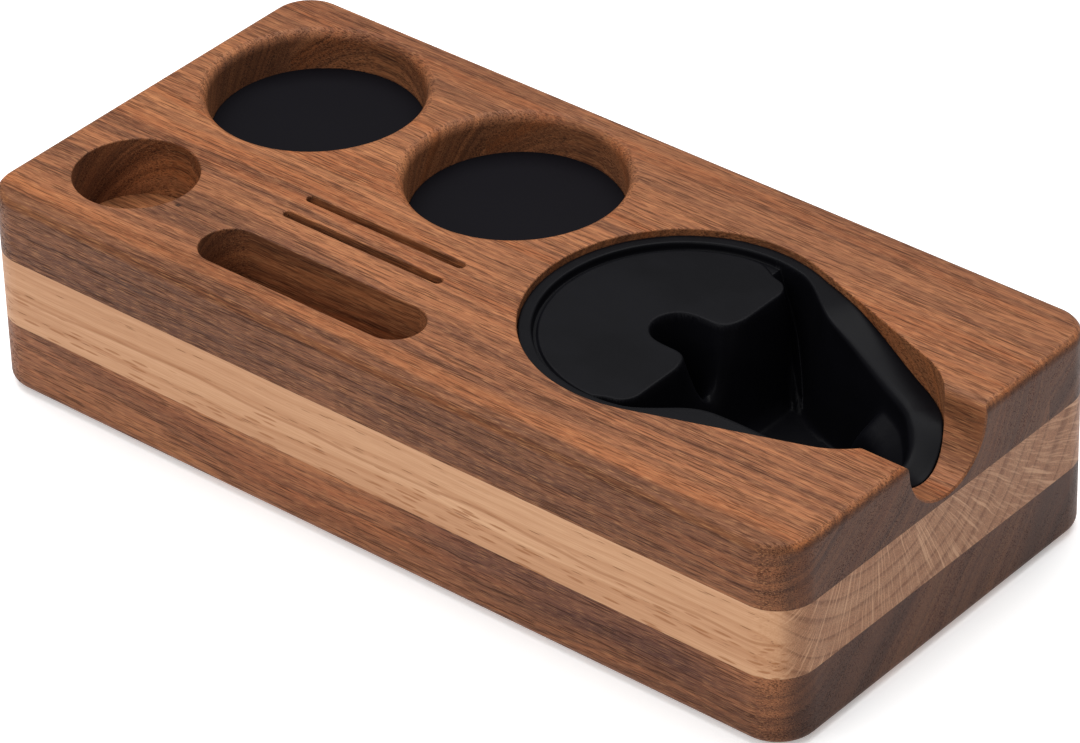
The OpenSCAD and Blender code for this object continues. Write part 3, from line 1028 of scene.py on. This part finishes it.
def saw(name, low_y, high_y):
    """Takes away the stretch between two places across the board."""
    outline = [(-SAW_END, low_y), (SAW_END, low_y), (SAW_END, high_y), (-SAW_END, high_y)]
    return stack(name, [level(outline, glue_high / MM - SAW_OVER), level(outline, face / MM + SAW_OVER)])


def smooth_but_crisp(thing):
    """Smooth shading, with sharp edges above an angle and flat faces kept flat."""
    thing.data.shade_smooth()
    thing.data.set_sharp_from_angle(angle=math.radians(40))
    even = thing.modifiers.new("flat faces stay flat", "WEIGHTED_NORMAL")
    even.keep_sharp = True
    even.weight = 100
    settle(thing)


routed = routing_tree()
print("routing tree:", len(routed.nodes), "nodes")


# %% The top board and the back strip
def routed_board(name, node, offcut, material):
    blank = round_cornered_shape(name, 2 * half_length, 2 * half_width, CORNER, (0.0, 0.0), edge_wall)
    rack = bpy.data.collections.new("bits for " + name)
    bpy.context.scene.collection.children.link(rack)
    for cutter in (*bits, offcut):
        rack.objects.link(cutter)
    modifier = blank.modifiers.new("routing", "NODES")
    modifier.node_group = routed
    set_inputs(modifier, {"Bits": rack, "Material": material})
    settle(blank)
    print(name, "routed:", face_outwards(blank.data))
    smooth_but_crisp(blank)
    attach(blank, "block")
    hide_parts(node)
    return blank


edge_y, glue_y = half_width / MM + SAW_OVER, glue_back / MM
off_back, off_front = saw("offcut_back", glue_y, edge_y), saw("offcut_front", -edge_y, glue_y)
top = routed_board("walnut_top", "top_board", off_back, top_walnut)
strip = routed_board("walnut_back_strip", "top_back_strip", off_front, strip_walnut)
for cutter in (*bits, off_back, off_front):
    bpy.data.objects.remove(cutter)

# %% [markdown]
# ## The two lower boards
# The pale middle board and the base board show only their outer faces. The CAD shapes are already
# right for those, so they stay, and only take their timber. Their glue faces meet the boards above
# and below exactly.

# %% Timber for the lower boards
for node, material in (("base_board", base_walnut), ("middle_board", pale_oak)):
    coat(frame["nodes"][node], material)
    print(node, "takes", material.name)

# %% [markdown]
# ## Pads and feet
# The pads are discs of silicone punched from sheet, and the feet are rubber discs let into the
# underside. Both have a small rounded rim, and both are wells turned inside out, so the round-cornered
# tree makes them too.


# %% Pads and feet
def disc(name, node, body, edge, material):
    """A disc with a small rounded rim, in the place of a CAD node."""
    low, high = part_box(node)
    radius = (high.x - low.x) / 2
    centre = ((high.x + low.x) / 2, (high.y + low.y) / 2)
    wall = [*quarter(-edge, low.z + edge, edge, -90), *quarter(-edge, high.z - edge, edge, 0)]
    thing = round_cornered_shape(name, 2 * radius, 2 * radius, radius, centre, wall, material)
    smooth_but_crisp(thing)
    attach(thing, body)
    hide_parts(node)


PAD_EDGE, FOOT_EDGE = 0.35 * MM, 0.4 * MM
disc("tamper_well_pad", "tamper_pad", "tamper_pad", PAD_EDGE, pad_silicone)
disc("distributor_well_pad", "distributor_pad", "distributor_pad", PAD_EDGE, pad_silicone)
for corner_name in ("front_left", "front_right", "back_left", "back_right"):
    disc("rubber_foot_" + corner_name, "foot_" + corner_name, "block", FOOT_EDGE, foot_rubber)

# %% [markdown]
# ## Floor, light and camera
# A product photographer would set this on a white sweep under a big overhead softbox, with a second
# one in front. The light is soft enough to leave almost no shadow. The camera stands far off with
# a long lens, so the block's long sides run nearly parallel.

# %% The floor and the lights
FLOOR_REACH = 6.0
FLOOR_LOW = -0.02 * MM          # a hair below the feet, so that no two faces share one plane
FLOOR_GLOW = 0.3


def studio_floor():
    f = Finish("studio_floor", sheen=0.0)
    mottle = f.noise(f.stretch(f.place, 60, 60, 60), 2.0)
    pale = f.mix(mottle, colour(248, 248, 248), colour(253, 253, 253))
    mesh = bpy.data.meshes.new("studio_floor")
    corners = [(-1, -1), (1, -1), (1, 1), (-1, 1)]
    mesh.from_pydata([(x * FLOOR_REACH, y * FLOOR_REACH, FLOOR_LOW) for x, y in corners], [], [(0, 1, 2, 3)])
    mesh.materials.append(f.finish(pale, 0.8, mottle, 0.01))
    f.shader.inputs["Emission Color"].default_value = (1.0, 1.0, 1.0, 1.0)
    f.shader.inputs["Emission Strength"].default_value = FLOOR_GLOW
    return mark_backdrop(new_object("studio_floor", mesh))


def softbox(name, place, size, power):
    lamp = bpy.data.lights.new(name, "AREA")
    lamp.shape = "RECTANGLE"
    lamp.size, lamp.size_y = size
    lamp.energy = power
    thing = new_object(name, lamp)
    thing.location = place
    thing.rotation_euler = (-Vector(place)).to_track_quat("-Z", "Y").to_euler()


studio_floor()
softbox("overhead", (-0.3, 0.35, 1.6), (2.2, 1.8), 42.0)
softbox("front", (0.1, -1.5, 1.25), (1.6, 1.0), 12.0)
sky = bpy.data.worlds.new("studio_air")
sky.use_nodes = True
sky.node_tree.nodes["Background"].inputs[0].default_value = (1.0, 1.0, 1.0, 1.0)
sky.node_tree.nodes["Background"].inputs[1].default_value = 0.3
bpy.context.scene.world = sky
bpy.context.scene.view_settings.view_transform = "Standard"
print("lights, W:", [lamp.energy for lamp in bpy.data.lights])

# %% The camera
LENS, SENSOR = 197.6, 36.0      # in mm
AZIMUTH, ELEVATION, ROLL = math.radians(40.83), math.radians(34.40), math.radians(-1.70)
AIM = Vector((9.6 * MM, -7.1 * MM, 34.5 * MM))
DISTANCE = 1.7097


def studio_camera():
    back = Vector((math.sin(AZIMUTH) * math.cos(ELEVATION), -math.cos(AZIMUTH) * math.cos(ELEVATION),
                   math.sin(ELEVATION)))
    lens = bpy.data.cameras.new("camera")
    lens.lens, lens.sensor_width = LENS, SENSOR
    thing = new_object("camera", lens)
    level_right = Vector((0, 0, 1)).cross(back).normalized()
    right = math.cos(ROLL) * level_right + math.sin(ROLL) * back.cross(level_right)
    turn = Matrix((right, back.cross(right), back)).transposed()
    thing.matrix_world = Matrix.Translation(AIM + back * DISTANCE) @ turn.to_4x4()
    bpy.context.scene.camera = thing
    return thing


camera = studio_camera()
print("camera at, m:", [round(c, 3) for c in camera.location])
